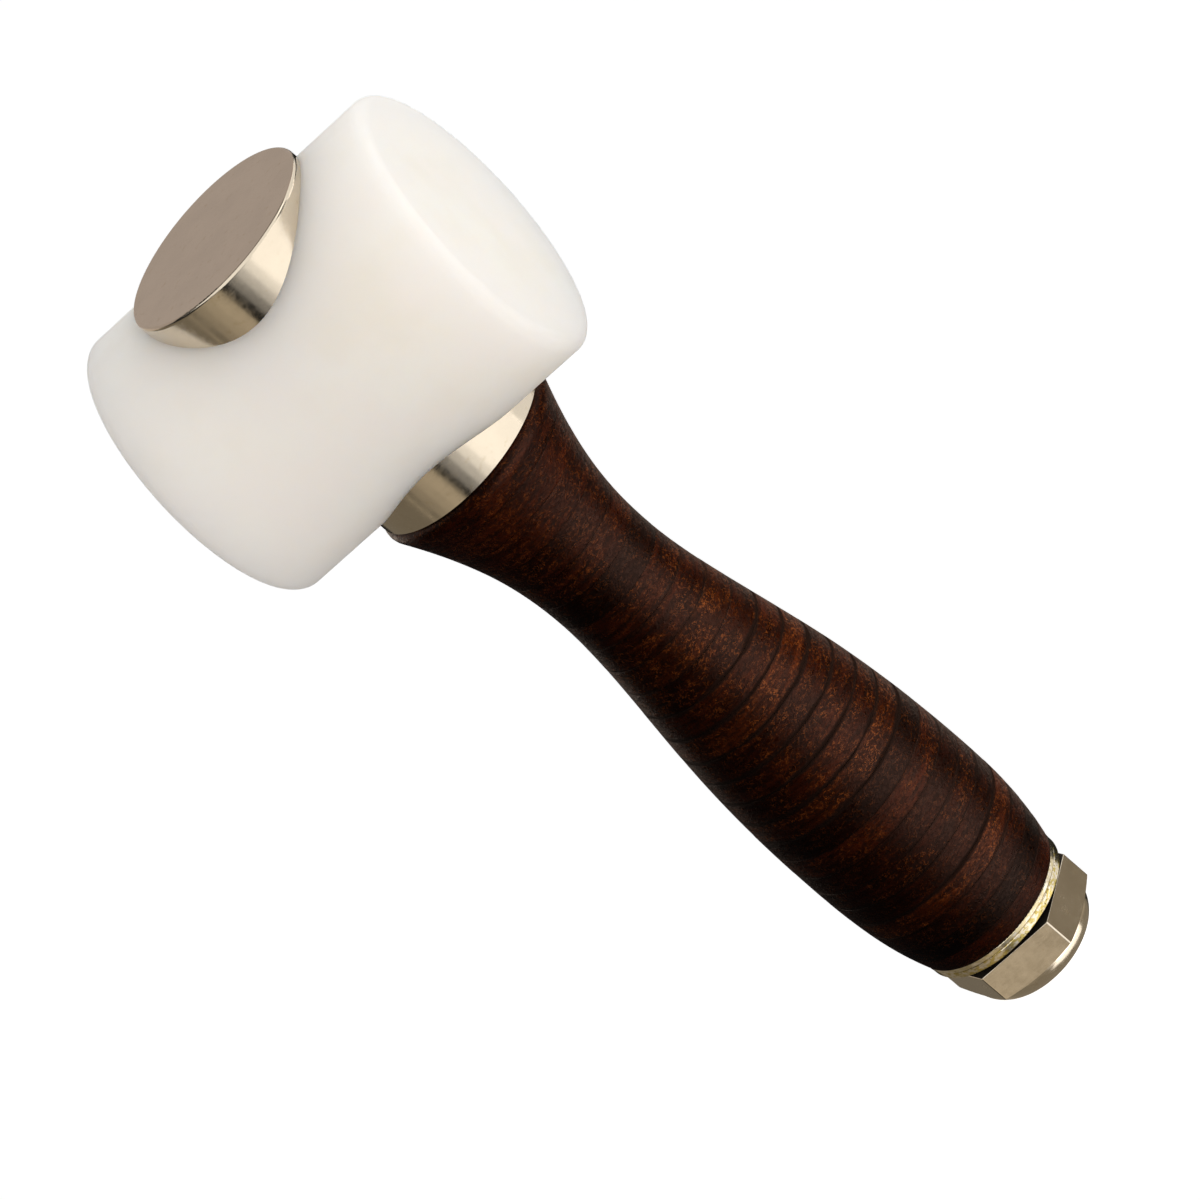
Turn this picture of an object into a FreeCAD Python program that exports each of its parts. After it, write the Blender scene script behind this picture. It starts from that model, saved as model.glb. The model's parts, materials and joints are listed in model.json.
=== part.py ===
# A leather worker's T-head mallet: nylon head, metal cap and collar, grip of stacked
# leather discs, two end washers and a round-ended hexagonal nut, drawn together by one
# steel rod that runs from the cap to the nut.
#
# Frame: millimetres, +Z up along the handle towards the cap, X along the head, origin at
# the middle of the nut's flat end, which is the lowest point.
import math
import os

import FreeCAD, Part

# ---- driving dimensions ---------------------------------------------------------------
HEAD_DIAMETER = 50.8
HEAD_LENGTH = 60.8
HEAD_RIM_RADIUS = 2.2

CAP_RADIUS = 17.7
CAP_STAND = 1.3  # the flat top's height above the head's crown
CAP_EDGE_RADIUS = 0.6
CAP_BOSS_RADIUS = 8.0  # the boss is let into the head and tapped for the rod
CAP_BOSS_DEPTH = 11.0  # below the head's crown

COLLAR_RADIUS = 17.2
COLLAR_STAND = 0.8  # the flat underside's depth below the head's lowest line

GRIP_LENGTH = 124.8
DISC_COUNT = 25
FIRST_DISC_THICKNESS = 5.85  # at the collar; the others get evenly thinner
GRIP_SHOULDER_RADIUS = 1.8
# The grip's outline as (distance below the collar, radius): shoulder, waist, swell, end.
GRIP_OUTLINE = [
    (0.0, 18.5),
    (9.8, 14.7),
    (19.4, 12.05),
    (33.7, 10.75),
    (52.8, 12.75),
    (71.9, 15.6),
    (86.0, 16.85),
    (100.6, 17.3),
    (114.5, 16.75),
    (GRIP_LENGTH, 14.8),
]

BACKING_WASHER_THICKNESS = 1.0
BACKING_WASHER_RADIUS = 14.7
END_WASHER_THICKNESS = 1.5
END_WASHER_RADIUS = 14.6
WASHER_EDGE_RADIUS = 0.25

NUT_ACROSS_FLATS = 25.4
NUT_TURN = 3.7  # of a corner from the head's direction, in degrees
NUT_SEAT_RADIUS = 11.0
NUT_SEAT_HEIGHT = 1.5  # round seat between the hexagon and the washer
NUT_HEXAGON_TOP = 11.3
NUT_CORNER_RADIUS = 0.4  # of the hexagon's upright edges
NUT_RIM_RADIUS = 0.2  # of the edges round the hexagon's top
NUT_CORNER_END = 5.3  # height at which the corners are turned off
NUT_CORNER_SLOPE = 22.0  # of the turned corners, in degrees
NUT_ROUND_RADIUS = 12.6
NUT_ROUND_EDGE = 4.9

ROD_RADIUS = 4.75
ROD_CHAMFER = 0.8
ROD_END_COVER = 3.6  # metal between each end of the rod and the outside
HOLE_CLEARANCE = 0.1  # on the radius, where the rod passes through
THREAD_CLEARANCE = 0.05  # on the radius, where the rod is screwed in
BOSS_CLEARANCE = 0.1
HOLE_RUN_OUT = 0.5  # blind holes run this far past the rod

# ---- heights that follow from them ------------------------------------------------------
HEAD_RADIUS = HEAD_DIAMETER / 2
NUT_TOP = NUT_HEXAGON_TOP + NUT_SEAT_HEIGHT
END_WASHER_TOP = NUT_TOP + END_WASHER_THICKNESS
GRIP_BOTTOM = END_WASHER_TOP + BACKING_WASHER_THICKNESS
GRIP_TOP = GRIP_BOTTOM + GRIP_LENGTH
HEAD_AXIS = GRIP_TOP + COLLAR_STAND + HEAD_RADIUS
HEAD_CROWN = HEAD_AXIS + HEAD_RADIUS
BOSS_BOTTOM = HEAD_CROWN - CAP_BOSS_DEPTH
CAP_TOP = HEAD_CROWN + CAP_STAND
ROD_BOTTOM = ROD_END_COVER
ROD_TOP = CAP_TOP - ROD_END_COVER

ORIGIN = FreeCAD.Vector(0, 0, 0)
UP = FreeCAD.Vector(0, 0, 1)
ALONG_HEAD = FreeCAD.Vector(1, 0, 0)
TINY = 1e-6


# ---- helpers ------------------------------------------------------------------------------
def cylinder(radius, bottom, top):
    """Upright cylinder on the handle's axis between two heights."""
    return Part.makeCylinder(radius, top - bottom, FreeCAD.Vector(0, 0, bottom))


def rod_hole(bottom, top):
    """Room for the rod where it passes through a piece."""
    return cylinder(ROD_RADIUS + HOLE_CLEARANCE, bottom, top)


def tapped_hole(bottom, top):
    """Room for the rod where it is screwed in; its thread is left plain."""
    return cylinder(ROD_RADIUS + THREAD_CLEARANCE, bottom, top)


def head_cylinder():
    start = FreeCAD.Vector(-HEAD_LENGTH / 2, 0, HEAD_AXIS)
    return Part.makeCylinder(HEAD_RADIUS, HEAD_LENGTH, start, ALONG_HEAD)


def level_edges(shape, height):
    """The edges that lie flat at one height."""
    return [edge for edge in shape.Edges
            if abs(edge.BoundBox.ZMin - height) < TINY and abs(edge.BoundBox.ZMax - height) < TINY]


def save(shape, node):
    shape.removeSplitter().exportStep("parts/" + node + ".step")


# ---- head, cap and collar -------------------------------------------------------------------
def make_head():
    block = head_cylinder()
    rims = [edge for edge in block.Edges if edge.BoundBox.XLength < TINY]
    block = block.makeFillet(HEAD_RIM_RADIUS, rims)
    block = block.cut(rod_hole(GRIP_TOP, CAP_TOP))
    return block.cut(cylinder(CAP_BOSS_RADIUS + BOSS_CLEARANCE, BOSS_BOTTOM, CAP_TOP))


def make_cap():
    disc = cylinder(CAP_RADIUS, HEAD_AXIS, CAP_TOP)
    disc = disc.makeFillet(CAP_EDGE_RADIUS, level_edges(disc, CAP_TOP))
    saddle = disc.cut(head_cylinder())
    cap = saddle.fuse(cylinder(CAP_BOSS_RADIUS, BOSS_BOTTOM, CAP_TOP - CAP_STAND / 2))
    return cap.cut(tapped_hole(BOSS_BOTTOM, ROD_TOP + HOLE_RUN_OUT))


def make_collar():
    saddle = cylinder(COLLAR_RADIUS, GRIP_TOP, HEAD_AXIS).cut(head_cylinder())
    return saddle.cut(rod_hole(GRIP_TOP, HEAD_AXIS))


# ---- grip -------------------------------------------------------------------------------------
def make_grip():
    """The whole grip as turned: a solid of revolution round the rod's hole."""
    bore = ROD_RADIUS + HOLE_CLEARANCE
    outline = Part.BSplineCurve()
    outline.interpolate([FreeCAD.Vector(radius, 0, GRIP_TOP - depth) for depth, radius in GRIP_OUTLINE])
    outer = outline.toShape()
    ends = [FreeCAD.Vector(GRIP_OUTLINE[-1][1], 0, GRIP_BOTTOM), FreeCAD.Vector(bore, 0, GRIP_BOTTOM),
            FreeCAD.Vector(bore, 0, GRIP_TOP), FreeCAD.Vector(GRIP_OUTLINE[0][1], 0, GRIP_TOP)]
    section = Part.Face(Part.Wire([outer] + Part.makePolygon(ends).Edges))
    grip = section.revolve(ORIGIN, UP, 360)
    shoulder = [edge for edge in level_edges(grip, GRIP_TOP) if edge.BoundBox.XMax > COLLAR_RADIUS]
    return grip.makeFillet(GRIP_SHOULDER_RADIUS, shoulder)


def disc_top(number):
    """Height of the top of the disc with this number, counted from 0 at the collar."""
    surplus = DISC_COUNT * FIRST_DISC_THICKNESS - GRIP_LENGTH
    thinning = 2 * surplus / (DISC_COUNT * (DISC_COUNT - 1))
    return GRIP_TOP - number * FIRST_DISC_THICKNESS + thinning * number * (number - 1) / 2


def make_disc(grip, number):
    slab = cylinder(HEAD_RADIUS, disc_top(number + 1), disc_top(number))
    return grip.common(slab)


# ---- washers, nut and rod -------------------------------------------------------------------
def make_washer(radius, bottom, top):
    plate = cylinder(radius, bottom, top)
    plate = plate.makeFillet(WASHER_EDGE_RADIUS, level_edges(plate, bottom) + level_edges(plate, top))
    return plate.cut(rod_hole(bottom, top))


def make_hexagon():
    """The nut's hexagon, its lower corners turned off to a shallow cone."""
    corner_radius = NUT_ACROSS_FLATS / 2 / math.cos(math.pi / 6)
    slope = math.tan(math.radians(NUT_CORNER_SLOPE))
    cone_bottom = NUT_CORNER_END - (corner_radius - NUT_ROUND_RADIUS) * slope
    cone_top_radius = NUT_ROUND_RADIUS + (NUT_HEXAGON_TOP - cone_bottom) / slope
    angles = [math.radians(NUT_TURN + 60 * corner) for corner in range(7)]
    corners = [FreeCAD.Vector(corner_radius * math.cos(angle), corner_radius * math.sin(angle), cone_bottom)
               for angle in angles]
    prism = Part.Face(Part.makePolygon(corners)).extrude(UP * (NUT_HEXAGON_TOP - cone_bottom))
    upright = [edge for edge in prism.Edges if edge.BoundBox.ZLength > TINY]
    prism = prism.makeFillet(NUT_CORNER_RADIUS, upright)
    prism = prism.makeFillet(NUT_RIM_RADIUS, level_edges(prism, NUT_HEXAGON_TOP))
    cone = Part.makeCone(NUT_ROUND_RADIUS, cone_top_radius, NUT_HEXAGON_TOP - cone_bottom,
                         FreeCAD.Vector(0, 0, cone_bottom))
    return prism.common(cone)


def make_nut():
    body = cylinder(NUT_ROUND_RADIUS, 0, NUT_HEXAGON_TOP)
    body = body.makeFillet(NUT_ROUND_EDGE, level_edges(body, 0))
    seat = cylinder(NUT_SEAT_RADIUS, NUT_HEXAGON_TOP, NUT_TOP)
    nut = body.fuse([make_hexagon(), seat])
    return nut.cut(tapped_hole(ROD_BOTTOM - HOLE_RUN_OUT, NUT_TOP))


def make_rod():
    rod = cylinder(ROD_RADIUS, ROD_BOTTOM, ROD_TOP)
    return rod.makeChamfer(ROD_CHAMFER, level_edges(rod, ROD_BOTTOM) + level_edges(rod, ROD_TOP))


# ---- build --------------------------------------------------------------------------------------
os.makedirs("parts", exist_ok=True)
save(make_head(), "head_block")
save(make_cap(), "cap")
save(make_collar(), "collar")
whole_grip = make_grip()
for disc in range(DISC_COUNT):
    save(make_disc(whole_grip, disc), "leather_disc_%02d" % (disc + 1))
save(make_washer(BACKING_WASHER_RADIUS, END_WASHER_TOP, GRIP_BOTTOM), "backing_washer")
save(make_washer(END_WASHER_RADIUS, NUT_TOP, END_WASHER_TOP), "end_washer")
save(make_nut(), "pommel_nut")
save(make_rod(), "core_rod")
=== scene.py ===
"""The leather craft mallet's looks: fine shapes, materials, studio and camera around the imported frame."""

import json
import math
import random

import bmesh
import bpy
from mathutils import Matrix, Vector

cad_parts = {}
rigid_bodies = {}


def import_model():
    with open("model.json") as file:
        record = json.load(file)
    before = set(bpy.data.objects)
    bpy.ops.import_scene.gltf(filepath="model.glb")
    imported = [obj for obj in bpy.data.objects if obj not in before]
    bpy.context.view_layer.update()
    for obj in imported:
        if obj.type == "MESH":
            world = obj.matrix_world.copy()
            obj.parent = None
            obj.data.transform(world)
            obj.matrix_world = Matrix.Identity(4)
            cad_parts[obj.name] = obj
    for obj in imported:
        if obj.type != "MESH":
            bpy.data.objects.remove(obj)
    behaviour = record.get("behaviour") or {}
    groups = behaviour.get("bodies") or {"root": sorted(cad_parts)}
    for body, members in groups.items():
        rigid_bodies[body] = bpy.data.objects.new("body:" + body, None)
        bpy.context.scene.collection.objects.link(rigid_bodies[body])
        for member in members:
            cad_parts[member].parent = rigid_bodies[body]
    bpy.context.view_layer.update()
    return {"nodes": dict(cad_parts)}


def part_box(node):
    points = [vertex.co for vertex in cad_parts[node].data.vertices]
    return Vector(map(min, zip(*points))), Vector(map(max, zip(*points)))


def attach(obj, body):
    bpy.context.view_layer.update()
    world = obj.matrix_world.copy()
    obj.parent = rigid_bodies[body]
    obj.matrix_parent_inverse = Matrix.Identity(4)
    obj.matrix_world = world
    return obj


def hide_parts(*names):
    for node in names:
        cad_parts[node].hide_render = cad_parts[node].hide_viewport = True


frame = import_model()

MM = 0.001
BODY = "root"
SEED = 25

# The camera looks at a point inside the grip from the front right, leaning over to its right.
CAMERA_AIM = Vector((-0.0045, 0.0014, 0.1027))
CAMERA_AZIMUTH = -70.34
CAMERA_ELEVATION = 24.93
CAMERA_DISTANCE = 0.8593
CAMERA_ROLL = 49.55
CAMERA_LENS = 161.4
SENSOR_WIDTH = 36.0
CAMERA_CLIP_START = 0.05

# Soft boxes stand on a sphere around the mallet's middle. Each kind of surface has its own.
STUDIO_CENTRE = Vector((0, 0, 0.1))
STUDIO_DISTANCE = 1.6
GRADING_STEP = 10  # degrees of azimuth
SKY_COLOUR = (1, 0.98, 0.95, 1)
SKY_STRENGTH = 0.015
NEUTRAL_LIGHT = (1, 0.98, 0.96)
WARM_LIGHT = (1, 0.855, 0.64)
# Name, azimuth, elevation, width and height in degrees, radiance, colour.
NYLON_LIGHTS = (
    ("nylon_key", -42, -20, 72, 74, 1.02, (1, 0.93, 0.865)),
    ("nylon_side", 22, 10, 40, 50, 3.3, (1, 0.995, 0.97)),
    ("nylon_top", -60, 66, 80, 90, 1.05, (1, 0.965, 0.92)),
    ("nylon_left", -120, 8, 90, 90, 0.60, (1, 0.935, 0.89)),
    ("nylon_back", 120, 8, 90, 90, 0.75, (1, 0.98, 0.96)),
    ("nylon_low", -80, -75, 60, 60, 0.75, (1, 0.96, 0.92)),
)
METAL_LIGHTS = (
    ("metal_back", 122, 22, 84, 60, 0.47, (1, 0.87, 0.81)),
    ("metal_rim", 42, 30, 60, 50, 1.1, NEUTRAL_LIGHT),
    ("metal_top", -60, 60, 90, 90, 1.2, NEUTRAL_LIGHT),
    ("metal_low", 0, -88, 90, 90, 0.25, WARM_LIGHT),
)
ROUND_METAL_LIGHTS = (
    ("metal_far_left", -186, -12, 72, 66, 0.19, WARM_LIGHT),
    ("metal_side", 17.5, -14, 44, 50, 1.05, NEUTRAL_LIGHT),
)
NUT_LIGHTS = (
    ("nut_front", -105, -12, 22, 66, 0.38, WARM_LIGHT),
    ("nut_side", 22, -24, 44, 44, 0.26, WARM_LIGHT),
    ("nut_far_side", 138, -27, 44, 40, 0.17, WARM_LIGHT),
    ("nut_back", -170, 2, 64, 60, 0.5, WARM_LIGHT),
    ("nut_glint", -32, -62, 50, 26, 1.5, NEUTRAL_LIGHT),
)
LEATHER_LIGHTS = (
    ("leather_side", 0, 48, 46, 42, 4.4, (1, 0.84, 0.70)),
    ("leather_rim", 80, -10, 44, 60, 0.3, (1, 0.8, 0.65)),
    ("leather_back", 134, 12, 56, 60, 1.1, (1, 0.84, 0.70)),
    ("leather_top", 150, 50, 50, 50, 0.8, NEUTRAL_LIGHT),
)
# Name, left and right azimuth, elevation and height in degrees, radiance added at each step, colour.
METAL_GRADED_LIGHTS = (
    ("metal_key", -92, -8, -20, 74, (0.26, 0.38, 0.46, 0.40), NEUTRAL_LIGHT),
    ("metal_left", -150, -106, -12, 66, (0.19, 0.13, 0.10, 0.07), WARM_LIGHT),
)
LEATHER_GRADED_LIGHTS = (
    ("leather_glint", -76, -4, -20, 74, (0.30, 0.60, 0.65), (1, 0.80, 0.70)),
)

# The floor is a disc that bends up into a dome.
STAGE_RADIUS = 6.0
STAGE_BEND = 1.5
STAGE_ARC_STEPS = 24
STAGE_SEGMENTS = 64
STAGE_FLAT_RADIUS = 1.0  # of the floor's middle face
STAGE_LAST_ANGLE = 89  # the dome stops just short of its top
STAGE_WHITE = (0.86, 0.86, 0.86, 1)
STAGE_ROUGHNESS = 0.9
STAGE_GLOW = 1.0

# The grip's discs: their edges are rounded and sanded a little unevenly.
DISC_PREFIX = "leather_disc_"
PIECE_PREFIX = "grip_disc_"
DISC_SEGMENTS = 192
DISC_ROWS = 10
DISC_ROUNDING_STEPS = 4
DISC_EDGE = 0.12 * MM
DISC_UNEVEN = 0.03 * MM
DISC_WAVES = (1, 2, 3, 5, 8)  # around the disc, each of a random size
SHARP_ANGLE = 50

# Leather: each slot's darker and lighter shade.
LEATHER_TONES = {
    "leather_dark": ((0.0048, 0.0009, 0.0003), (0.0220, 0.0039, 0.0010)),
    "leather_mid": ((0.0095, 0.0017, 0.0005), (0.0480, 0.0086, 0.0018)),
    "leather_light": ((0.0190, 0.0036, 0.0009), (0.0860, 0.0180, 0.0033)),
}
# A disc is as deep in tone as its slot, but some were dyed paler or darker, judged one by one.
PALER_DISCS = (1, 2, 3, 11, 18, 19, 21, 23)
DARKER_DISCS = (6, 9, 16, 17, 20)
PALER_DEPTH = 1.4
DARKER_DEPTH = 0.7
LAST_DISC_DEPTHS = {24: 0.15, 25: 2.5}  # one dyed almost black, the end one left pale
FIBRE_COLOUR = (0.340, 0.105, 0.022, 1)
FIBRE_SHARES = {"leather_dark": 0.3, "leather_mid": 0.7, "leather_light": 1.0}
GLUE_COLOUR = (0.0035, 0.0012, 0.0006, 1)
FIBRE_LEVEL = 0.44  # of the grain: the fibres run along this contour
FIBRE_WIDTH = 0.040
LEATHER_SPECULAR = 0.27
LEATHER_SHEEN = (1.0, 0.70, 0.60, 1)
GLUE_ROUGHNESS = 0.85
GLUE_WANDER = 0.25 * MM
# A joint has the number of the disc above it. Its clarity is how dark and wide its glue shows.
FAINT_JOINTS = range(1, 7)
CLEAR_JOINTS = (10, 11, 12, 13, 14, 15, 16, 21)
FAINT_CLARITY = 0.1
USUAL_CLARITY = 0.5
FULL_CLARITY = 0.95

# Nylon.
NYLON_DEEP = (0.900, 0.860, 0.795, 1)
NYLON_PALE = (0.928, 0.898, 0.845, 1)
NYLON_BLUSH = (0.928, 0.878, 0.838, 1)
NYLON_GLOW_RADII = (1.0, 0.92, 0.82)
NYLON_GLOW_DEPTH = 28 * MM
NYLON_IOR = 1.53
NYLON_SPECULAR = 0.22
NYLON_ROUGHNESS = (0.48, 0.60)  # where it is smooth, and where it is scuffed

# Metals.
NICKEL = (0.68, 0.60, 0.48)
NICKEL_WORN = (0.52, 0.40, 0.22)
WASHER_PLATE = (0.80, 0.72, 0.57)
WASHER_BRASS = (0.54, 0.42, 0.10)
WASHER_STAIN = (0.075, 0.050, 0.016)
STEEL = (0.56, 0.55, 0.53)
STEEL_WORN = (0.30, 0.27, 0.24)
# Painted shade: near-black put on the nut's top and the washers' undersides, where the parts shade each other
PAINTED_SHADE = (0.012, 0.008, 0.006)
TARNISH = 0.94  # of the plate's brightness
FITTING_ROUGHNESS = 0.11
NUT_ROUGHNESS = 0.13
WASHER_ROUGHNESS = 0.17
ROD_ROUGHNESS = 0.30
# Roughness where the painted shade is put
PAINTED_SHADE_ROUGHNESS = 0.7
STAIN_ROUGHNESS = 0.55
NUT_SHADE_DEPTH = 1.52 * MM  # below the nut's seat, just under the hexagon's top face; above this the nut is painted near-black as shade under the washer
WASHER_WEAR = {"backing_washer": 0.45, "end_washer": 0.9}
# The outer rim of each washer's underside is left out of the painted shade
WASHER_UNSHADED_RIM = 0.35 * MM


def direction(azimuth, elevation):
    """Unit vector towards an azimuth and elevation in degrees; azimuth 0 is +X."""
    turn = math.radians(azimuth)
    rise = math.radians(elevation)
    return Vector((math.cos(rise) * math.cos(turn), math.cos(rise) * math.sin(turn), math.sin(rise)))


def make_camera():
    """The camera, rolled about its line of sight so that the mallet lies across the picture."""
    data = bpy.data.cameras.new("camera")
    data.lens = CAMERA_LENS
    data.sensor_width = SENSOR_WIDTH
    data.clip_start = CAMERA_CLIP_START
    camera = bpy.data.objects.new("camera", data)
    bpy.context.scene.collection.objects.link(camera)
    away = direction(CAMERA_AZIMUTH, CAMERA_ELEVATION)
    level_right = Vector((0, 0, 1)).cross(away).normalized()
    level_up = away.cross(level_right)
    roll = math.radians(CAMERA_ROLL)
    up = math.cos(roll) * level_up + math.sin(roll) * level_right
    right = math.cos(roll) * level_right - math.sin(roll) * level_up
    turn = Matrix((right, up, away)).transposed().to_4x4()
    camera.matrix_world = Matrix.Translation(CAMERA_AIM + CAMERA_DISTANCE * away) @ turn
    bpy.context.scene.camera = camera


def make_softbox(name, azimuth, elevation, width, height, radiance, colour, only):
    """A rectangular soft box, seen from the mallet under width by height degrees, that lights some pieces."""
    data = bpy.data.lights.new(name, "AREA")
    data.shape = "RECTANGLE"
    data.size = 2 * STUDIO_DISTANCE * math.tan(math.radians(width / 2))
    data.size_y = 2 * STUDIO_DISTANCE * math.tan(math.radians(height / 2))
    data.energy = radiance * math.pi * data.size * data.size_y
    data.color = colour
    light = bpy.data.objects.new(name, data)
    light.visible_camera = False
    bpy.context.scene.collection.objects.link(light)
    towards = direction(azimuth, elevation)
    light.location = STUDIO_CENTRE + STUDIO_DISTANCE * towards
    light.rotation_euler = towards.to_track_quat("Z", "Y").to_euler()
    targets = bpy.data.collections.new(name + "_targets")
    for piece in only:
        targets.objects.link(piece)
    light.light_linking.receiver_collection = targets


def make_graded_softbox(name, left, right, elevation, height, steps, colour, only):
    """A soft box from azimuth left to right that gets brighter from its left edge by steps."""
    for number, radiance in enumerate(steps):
        edge = left + GRADING_STEP * number
        middle = (edge + right) / 2
        width = right - edge
        make_softbox("%s_%d" % (name, number), middle, elevation, width, height, radiance, colour, only)


def light_pieces(pieces, lights, graded_lights=()):
    """Sets up soft boxes from their tables, for these pieces only."""
    for values in lights:
        make_softbox(*values, pieces)
    for values in graded_lights:
        make_graded_softbox(*values, pieces)


def add_node(tree, kind, inputs=None, **settings):
    """A shader node with its settings; an input is a value or another node's output socket."""
    made = tree.nodes.new("ShaderNode" + kind)
    for key, value in settings.items():
        setattr(made, key, value)
    for key, value in (inputs or {}).items():
        if isinstance(value, bpy.types.NodeSocket):
            tree.links.new(value, made.inputs[key])
        else:
            made.inputs[key].default_value = value
    return made


def new_material(name):
    """An empty node material: the material, its tree and its Principled shader."""
    material = bpy.data.materials.new(name)
    material.use_nodes = True
    tree = material.node_tree
    return material, tree, tree.nodes["Principled BSDF"]


def stretched(tree, x, y, z, shift=(0, 0, 0)):
    """Object coordinates for a noise: x, y and z are its cells per metre along each axis."""
    place = add_node(tree, "TexCoord").outputs["Object"]
    return add_node(
        tree, "Mapping", {"Vector": place, "Scale": (x, y, z), "Location": shift}
    ).outputs["Vector"]


def noise(tree, vector, detail=4.0, roughness=0.55, distortion=0.0):
    """Cloudy values around 0.5."""
    return add_node(
        tree,
        "TexNoise",
        {"Vector": vector, "Scale": 1.0, "Detail": detail, "Roughness": roughness, "Distortion": distortion},
    ).outputs["Fac"]


def span(tree, value, low, high, to_low=0.0, to_high=1.0):
    """value from low to high becomes to_low to to_high, with soft ends."""
    return add_node(
        tree,
        "MapRange",
        {"Value": value, "From Min": low, "From Max": high, "To Min": to_low, "To Max": to_high},
        interpolation_type="SMOOTHSTEP",
    ).outputs["Result"]


def math_node(tree, operation, first, second=0.0):
    """One sum on one or two inputs, each a number or a socket."""
    made = add_node(tree, "Math", operation=operation)
    for socket, value in zip(made.inputs, (first, second)):
        if isinstance(value, bpy.types.NodeSocket):
            tree.links.new(value, socket)
        else:
            socket.default_value = value
    return made.outputs[0]


def mix_colour(tree, share, first, second):
    """The first colour, with a share of the second over it."""
    made = add_node(tree, "Mix", data_type="RGBA")
    sockets = {"Factor_Float": share, "A_Color": first, "B_Color": second}
    for socket in made.inputs:
        value = sockets.get(socket.identifier)
        if value is None:
            continue
        if isinstance(value, bpy.types.NodeSocket):
            tree.links.new(value, socket)
        else:
            socket.default_value = value
    return next(s for s in made.outputs if s.identifier == "Result_Color")


def opaque(colour):
    """The colour with an alpha of 1."""
    return (*colour, 1)


def bump(tree, height, distance, before=None):
    """A surface relief, on top of the one before it."""
    inputs = {"Height": height, "Distance": distance, "Strength": 1.0}
    if before is not None:
        inputs["Normal"] = before
    return add_node(tree, "Bump", inputs).outputs["Normal"]


def radius_of(tree):
    """Distance from the handle's axis, in metres."""
    place = add_node(tree, "TexCoord").outputs["Object"]
    parts = add_node(tree, "SeparateXYZ", {0: place}).outputs
    across = math_node(tree, "MULTIPLY", parts["X"], parts["X"])
    deep = math_node(tree, "MULTIPLY", parts["Y"], parts["Y"])
    return math_node(tree, "SQRT", math_node(tree, "ADD", across, deep))


def height_of(tree):
    """Height above the floor, in metres."""
    place = add_node(tree, "TexCoord").outputs["Object"]
    return add_node(tree, "SeparateXYZ", {0: place}).outputs["Z"]


def make_nylon():
    """White nylon: slightly translucent, fine turning marks around the head's axis, faint clouds."""
    material, tree, shader = new_material("nylon_white")
    clouds = noise(tree, stretched(tree, 60, 60, 60), detail=3)
    tint = mix_colour(tree, span(tree, clouds, 0.35, 0.65), NYLON_DEEP, NYLON_PALE)
    blush = noise(tree, stretched(tree, 34, 34, 34, (7, 3, 5)), detail=2)
    tint = mix_colour(tree, span(tree, blush, 0.42, 0.62), tint, NYLON_BLUSH)
    tree.links.new(tint, shader.inputs["Base Color"])
    shader.inputs["Subsurface Weight"].default_value = 1.0
    shader.inputs["Subsurface Radius"].default_value = NYLON_GLOW_RADII
    shader.inputs["Subsurface Scale"].default_value = NYLON_GLOW_DEPTH
    shader.inputs["IOR"].default_value = NYLON_IOR
    shader.inputs["Specular IOR Level"].default_value = NYLON_SPECULAR
    turning = noise(tree, stretched(tree, 5200, 40, 40), detail=2)
    scuffs = noise(tree, stretched(tree, 420, 420, 420), detail=5, roughness=0.6)
    gloss = span(tree, scuffs, 0.3, 0.7, *NYLON_ROUGHNESS)
    tree.links.new(gloss, shader.inputs["Roughness"])
    lined = bump(tree, turning, 0.003 * MM)
    tree.links.new(bump(tree, scuffs, 0.012 * MM, lined), shader.inputs["Normal"])
    return material


def turned_metal(name, colour, roughness):
    """Satin metal with fine turned lines and cloudy tarnish: its tree, shader, colour and surface relief."""
    material, tree, shader = new_material(name)
    shader.inputs["Metallic"].default_value = 1.0
    clouds = noise(tree, stretched(tree, 160, 160, 160), detail=4)
    tarnished = opaque([channel * TARNISH for channel in colour])
    plate = mix_colour(tree, span(tree, clouds, 0.3, 0.7), tarnished, opaque(colour))
    lines = noise(tree, stretched(tree, 260, 260, 7000), detail=2)
    rough = math_node(
        tree,
        "ADD",
        span(tree, clouds, 0.3, 0.7, roughness, roughness + 0.05),
        span(tree, lines, 0.3, 0.7, -0.02, 0.03),
    )
    return material, tree, shader, plate, rough, bump(tree, lines, 0.0018 * MM)


def make_plated(name, colour, worn, roughness, shaded_above=None):
    """Plated metal, a little warmer where it is worn; above the given height it is painted near-black, a
    painted shade for the recess under the washer.
    """
    material, tree, shader, plate, rough, relief = turned_metal(name, colour, roughness)
    patches = noise(tree, stretched(tree, 700, 700, 700), detail=6, roughness=0.62)
    plate = mix_colour(tree, span(tree, patches, 0.58, 0.74, 0.0, 0.35), plate, opaque(worn))
    rough = math_node(tree, "ADD", rough, span(tree, patches, 0.42, 0.68, 0.0, 0.08))
    # Painted shade: near-black above the given height, standing in for the shadow under the washer
    if shaded_above is not None:
        shade = span(tree, height_of(tree), shaded_above - 0.04 * MM, shaded_above + 0.04 * MM)
        plate = mix_colour(tree, shade, plate, opaque(PAINTED_SHADE))
        rough = math_node(tree, "MAXIMUM", rough, math_node(tree, "MULTIPLY", shade, PAINTED_SHADE_ROUGHNESS))
    tree.links.new(plate, shader.inputs["Base Color"])
    tree.links.new(rough, shader.inputs["Roughness"])
    tree.links.new(bump(tree, patches, 0.003 * MM, relief), shader.inputs["Normal"])
    return material


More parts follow.
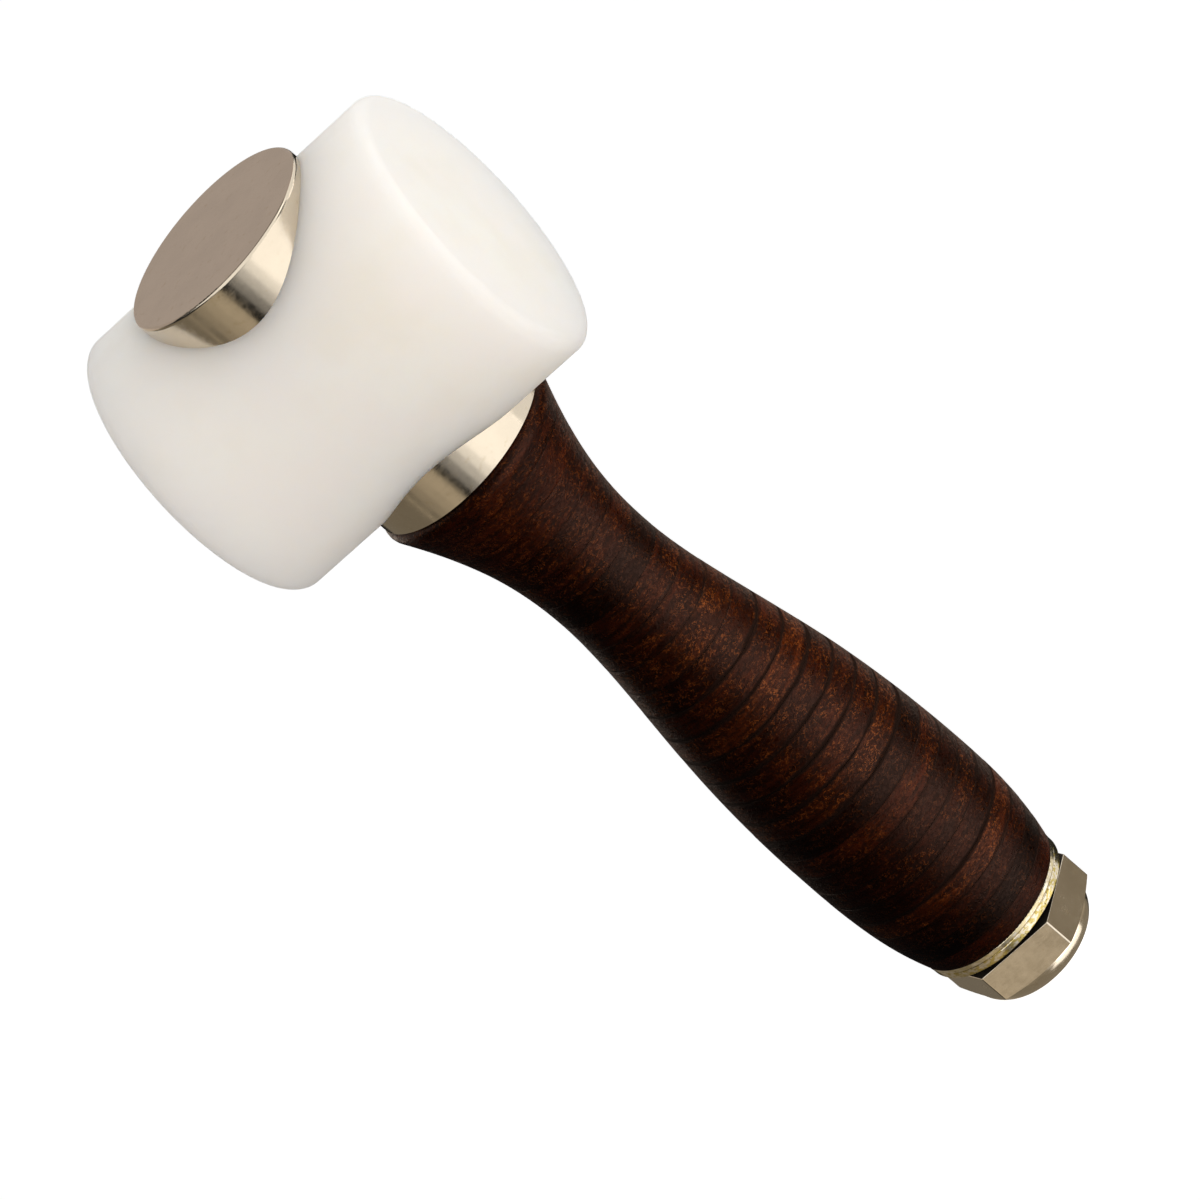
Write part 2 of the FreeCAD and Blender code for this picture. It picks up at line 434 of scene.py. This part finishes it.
def make_washer_metal(name, wear, lowest, inside):
    """Thin plating, worn through to brass in a band of brown-stained patches; its underside, inside a thin
    rim, is painted near-black as shade where it sits over the next part.
    """
    material, tree, shader, plate, rough, relief = turned_metal(name, WASHER_PLATE, WASHER_ROUGHNESS)
    patches = noise(tree, stretched(tree, 900, 900, 1500), detail=5, roughness=0.6)
    brass = math_node(tree, "MULTIPLY", span(tree, patches, 0.42, 0.56), wear)
    plate = mix_colour(tree, brass, plate, opaque(WASHER_BRASS))
    stains = noise(tree, stretched(tree, 2000, 2000, 2600), detail=4, roughness=0.6)
    stain = math_node(tree, "MULTIPLY", span(tree, stains, 0.57, 0.66), brass)
    plate = mix_colour(tree, stain, plate, opaque(WASHER_STAIN))
    # Painted shade: the underside inside the rim is darkened to stand in for the shadow between the washer
    # and the part below
    low = span(tree, height_of(tree), lowest + 0.02 * MM, lowest + 0.10 * MM, 1.0, 0.0)
    within = span(tree, radius_of(tree), inside - 0.1 * MM, inside, 1.0, 0.0)
    shade = math_node(tree, "MULTIPLY", low, within)
    plate = mix_colour(tree, shade, plate, opaque(PAINTED_SHADE))
    tree.links.new(plate, shader.inputs["Base Color"])
    rough = math_node(tree, "MAXIMUM", rough, span(tree, stain, 0.0, 1.0, 0.0, STAIN_ROUGHNESS))
    tree.links.new(rough, shader.inputs["Roughness"])
    tree.links.new(bump(tree, patches, 0.012 * MM, relief), shader.inputs["Normal"])
    return material


def make_leather(name, tone, depth, clarities, low, high, seed):
    """One disc's sanded edge: wrinkled grain around the grip, pale fibres, dark glue at both faces."""
    dark, pale = (opaque([channel * depth for channel in shade]) for shade in LEATHER_TONES[tone])
    material, tree, shader = new_material(name)
    shift = (seed * 3.7, seed * 1.3, seed * 2.1)  # so that no two discs have the same pattern
    layers = noise(tree, stretched(tree, 120, 120, 1000, shift), detail=5, roughness=0.62)
    blotches = noise(tree, stretched(tree, 130, 130, 210, shift), detail=4)
    body = mix_colour(tree, span(tree, layers, 0.34, 0.66), dark, pale)
    body = mix_colour(tree, span(tree, blotches, 0.38, 0.66, 0.0, 0.75), body, dark)
    grain = noise(tree, stretched(tree, 1150, 1150, 1900, shift), detail=3, roughness=0.6, distortion=1.0)
    pits = span(tree, grain, 0.50, 0.66, 0.0, 0.75)
    body = mix_colour(tree, pits, body, GLUE_COLOUR)
    ridge = math_node(tree, "ABSOLUTE", math_node(tree, "SUBTRACT", grain, FIBRE_LEVEL))
    thread = span(tree, ridge, 0.0, FIBRE_WIDTH, 1.0, 0.0)
    speckle = span(tree, noise(tree, stretched(tree, 1500, 1500, 1500, shift), detail=2), 0.40, 0.56)
    zone = span(tree, noise(tree, stretched(tree, 230, 230, 420, shift), detail=3), 0.34, 0.60)
    fleck = math_node(tree, "MULTIPLY", math_node(tree, "MULTIPLY", thread, speckle), zone)
    body = mix_colour(tree, math_node(tree, "MULTIPLY", fleck, FIBRE_SHARES[tone]), body, FIBRE_COLOUR)
    waves = noise(tree, stretched(tree, 140, 140, 60, shift), detail=3)
    wander = span(tree, waves, 0.3, 0.7, -GLUE_WANDER, GLUE_WANDER)
    height = math_node(tree, "ADD", height_of(tree), wander)
    below, above = clarities
    low_reach = (0.35 + 0.50 * below) * MM
    high_reach = (0.30 + 0.45 * above) * MM
    near_low = span(tree, height, low + 0.15 * MM, low + low_reach, 0.2 + 0.75 * below, 0.0)
    near_high = span(tree, height, high - high_reach, high - 0.10 * MM, 0.0, 0.2 + 0.75 * above)
    glue = math_node(tree, "MAXIMUM", near_low, near_high)
    body = mix_colour(tree, glue, body, GLUE_COLOUR)
    tree.links.new(body, shader.inputs["Base Color"])
    shader.inputs["Specular IOR Level"].default_value = LEATHER_SPECULAR
    shader.inputs["Specular Tint"].default_value = LEATHER_SHEEN
    rough = math_node(
        tree,
        "ADD",
        span(tree, layers, 0.3, 0.7, 0.0, 0.05),
        span(tree, grain, 0.36, 0.62, 0.21, 0.46),
    )
    rough = math_node(tree, "MAXIMUM", rough, math_node(tree, "MULTIPLY", glue, GLUE_ROUGHNESS))
    tree.links.new(rough, shader.inputs["Roughness"])
    pores = noise(tree, stretched(tree, 1500, 1500, 2600, shift), detail=4, roughness=0.65)
    relief = bump(tree, layers, 0.03 * MM)
    relief = bump(tree, grain, -0.10 * MM, relief)
    tree.links.new(bump(tree, pores, 0.05 * MM, relief), shader.inputs["Normal"])
    return material


def make_pale_stage():
    """A matt white that glows just enough to stay as pale as the paper behind a product."""
    material, _, shader = new_material("pale_stage")
    shader.inputs["Base Color"].default_value = STAGE_WHITE
    shader.inputs["Roughness"].default_value = STAGE_ROUGHNESS
    shader.inputs["Emission Color"].default_value = (1, 1, 1, 1)
    shader.inputs["Emission Strength"].default_value = STAGE_GLOW
    return material


def arc_points(centre, radius, first, last):
    """Points (distance, height) of an arc between two angles in degrees; angle 0 points outwards."""
    steps = [first + (last - first) * step / STAGE_ARC_STEPS for step in range(STAGE_ARC_STEPS + 1)]
    turns = [math.radians(angle) for angle in steps]
    return [(centre[0] + radius * math.cos(turn), centre[1] + radius * math.sin(turn)) for turn in turns]


def make_stage():
    """A pale floor that sweeps up into a pale dome. It holds no light back and throws none on the mallet."""
    bend_centre = (STAGE_RADIUS - STAGE_BEND, STAGE_BEND)
    profile = [(STAGE_FLAT_RADIUS, 0.0)]
    profile += arc_points(bend_centre, STAGE_BEND, -90, 0)
    profile += arc_points((0.0, STAGE_BEND), STAGE_RADIUS, 0, STAGE_LAST_ANGLE)[1:]
    turns = [math.tau * step / STAGE_SEGMENTS for step in range(STAGE_SEGMENTS)]
    mesh = bpy.data.meshes.new("pale_floor")
    shape = bmesh.new()
    rings = []
    for distance, height in profile:
        points = [(distance * math.cos(turn), distance * math.sin(turn), height) for turn in turns]
        rings.append([shape.verts.new(point) for point in points])
    shape.faces.new(rings[0])
    for lower, upper in zip(rings, rings[1:]):
        for here in range(STAGE_SEGMENTS):
            after = (here + 1) % STAGE_SEGMENTS
            shape.faces.new((lower[here], lower[after], upper[after], upper[here]))
    shape.to_mesh(mesh)
    shape.free()
    mesh.materials.append(make_pale_stage())
    stage = bpy.data.objects.new("pale_floor", mesh)
    bpy.context.scene.collection.objects.link(stage)
    stage.visible_diffuse = False
    stage.visible_glossy = False
    stage.visible_transmission = False
    stage.visible_shadow = False


def outer_profile(mesh):
    """(height, radius) up a CAD disc's outer wall, and the radius of its bore."""
    widest = {}
    bore = math.inf
    for vertex in mesh.vertices:
        reach = math.hypot(vertex.co.x, vertex.co.y)
        level = round(vertex.co.z, 6)
        widest[level] = max(widest.get(level, 0.0), reach)
        bore = min(bore, reach)
    return sorted(widest.items()), bore


def follow(profile, height):
    """The radius of a profile at a height."""
    for (low, low_radius), (high, high_radius) in zip(profile, profile[1:]):
        if height <= high:
            return low_radius + (high_radius - low_radius) * (height - low) / (high - low)
    return profile[-1][1]


def lathe(name, rows, random_source):
    """A closed ring turned around the handle's axis; rows is its outline as (height, radius, is outside)."""
    waves = [
        (count, random_source.uniform(0.3, 1.0) * DISC_UNEVEN / 3, random_source.uniform(0, math.tau))
        for count in DISC_WAVES
    ]
    shape = bmesh.new()
    loops = []
    for height, reach, outside in rows:
        loop = []
        for step in range(DISC_SEGMENTS):
            angle = math.tau * step / DISC_SEGMENTS
            radius = reach
            if outside:
                radius += sum(size * math.sin(count * angle + phase) for count, size, phase in waves)
            loop.append(shape.verts.new((radius * math.cos(angle), radius * math.sin(angle), height)))
        loops.append(loop)
    for first, second in zip(loops, loops[1:] + loops[:1]):
        for here in range(DISC_SEGMENTS):
            after = (here + 1) % DISC_SEGMENTS
            shape.faces.new((first[here], first[after], second[after], second[here]))
    bmesh.ops.recalc_face_normals(shape, faces=shape.faces)
    mesh = bpy.data.meshes.new(name)
    shape.to_mesh(mesh)
    shape.free()
    for face in mesh.polygons:
        face.use_smooth = True
    mesh.set_sharp_from_angle(angle=math.radians(SHARP_ANGLE))
    piece = bpy.data.objects.new(name, mesh)
    bpy.context.scene.collection.objects.link(piece)
    return piece


def joint_clarity(number):
    """How dark and wide the glue below a disc shows, from 0 to 1."""
    if number in FAINT_JOINTS:
        return FAINT_CLARITY
    if number in CLEAR_JOINTS:
        return FULL_CLARITY
    return USUAL_CLARITY


def disc_depth(number):
    """How pale a disc is against its slot's tone."""
    if number in PALER_DISCS:
        return PALER_DEPTH
    if number in DARKER_DISCS:
        return DARKER_DEPTH
    return LAST_DISC_DEPTHS.get(number, 1.0)


def make_disc(node, random_source):
    """A sanded leather disc in place of its CAD node, with softly rounded edges."""
    profile, bore = outer_profile(node.data)
    low, high = profile[0][0], profile[-1][0]
    number = int(node.name[len(DISC_PREFIX):])
    clarities = (joint_clarity(number), joint_clarity(number - 1))
    edge = DISC_EDGE * (0.5 + 0.5 * clarities[0])
    angles = [math.pi / 2 * step / DISC_ROUNDING_STEPS for step in range(DISC_ROUNDING_STEPS + 1)]
    rounding = [(edge * (1 - math.cos(angle)), edge * (1 - math.sin(angle))) for angle in angles]
    step_height = (high - low - 2 * edge) / DISC_ROWS
    outline = [(low + rise, inset) for rise, inset in rounding]
    outline += [(low + edge + step_height * step, 0.0) for step in range(1, DISC_ROWS)]
    outline += [(high - rise, inset) for rise, inset in reversed(rounding)]
    sanded = random_source.uniform(0.2, 1.0) * DISC_UNEVEN
    rows = [(low, bore, False)]
    rows += [(height, follow(profile, height) - sanded - inset, True) for height, inset in outline]
    rows += [(high, bore, False)]
    piece = lathe(PIECE_PREFIX + "%02d" % number, rows, random_source)
    slot_name = node.data.materials[0].name.split(".")[0]
    depth = disc_depth(number)
    finish = make_leather("leather_%02d" % number, slot_name, depth, clarities, low, high, number)
    piece.data.materials.append(finish)
    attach(piece, BODY)
    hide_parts(node.name)


def dress(node_name, material):
    """Gives a CAD node, whose shape is right, its finish."""
    node = frame["nodes"][node_name]
    node.data.materials.clear()
    node.data.materials.append(material)


def make_studio():
    """A faint sky, and soft boxes of their own for the nylon, the metals and the leather."""
    world = bpy.data.worlds.new("studio")
    bpy.context.scene.world = world
    world.use_nodes = True
    world.node_tree.nodes["Background"].inputs["Color"].default_value = SKY_COLOUR
    world.node_tree.nodes["Background"].inputs["Strength"].default_value = SKY_STRENGTH
    nut = [frame["nodes"]["pommel_nut"]]
    round_metals = [frame["nodes"][name] for name in ("cap", "collar", "backing_washer", "end_washer")]
    discs = [piece for piece in bpy.data.objects if piece.name.startswith(PIECE_PREFIX)]
    light_pieces([frame["nodes"]["head_block"]], NYLON_LIGHTS)
    light_pieces(round_metals + nut, METAL_LIGHTS, METAL_GRADED_LIGHTS)
    light_pieces(round_metals, ROUND_METAL_LIGHTS)
    light_pieces(nut, NUT_LIGHTS)
    light_pieces(discs, LEATHER_LIGHTS, LEATHER_GRADED_LIGHTS)


def main():
    """Builds the discs, gives every piece its finish, and sets up camera, floor and lights."""
    bpy.context.scene.view_settings.view_transform = "Standard"
    make_camera()
    make_stage()
    random_source = random.Random(SEED)
    for name in sorted(n for n in frame["nodes"] if n.startswith(DISC_PREFIX)):
        make_disc(frame["nodes"][name], random_source)
    dress("head_block", make_nylon())
    plated = make_plated("nickel_plate", NICKEL, NICKEL_WORN, FITTING_ROUGHNESS)
    dress("cap", plated)
    dress("collar", plated)
    # The nut's top face and seat get painted shade, for the shadow under the end washer
    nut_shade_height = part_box("pommel_nut")[1].z - NUT_SHADE_DEPTH
    dress("pommel_nut", make_plated("nut_plate", NICKEL, NICKEL_WORN, NUT_ROUGHNESS, shaded_above=nut_shade_height))
    for name, wear in WASHER_WEAR.items():
        low_corner, high_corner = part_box(name)
        # Inside this radius the washer's underside gets painted shade
        inside = high_corner.x - WASHER_UNSHADED_RIM
        dress(name, make_washer_metal(name + "_plate", wear, low_corner.z, inside))
    dress("core_rod", make_plated("rod_steel", STEEL, STEEL_WORN, ROD_ROUGHNESS))
    make_studio()


main()
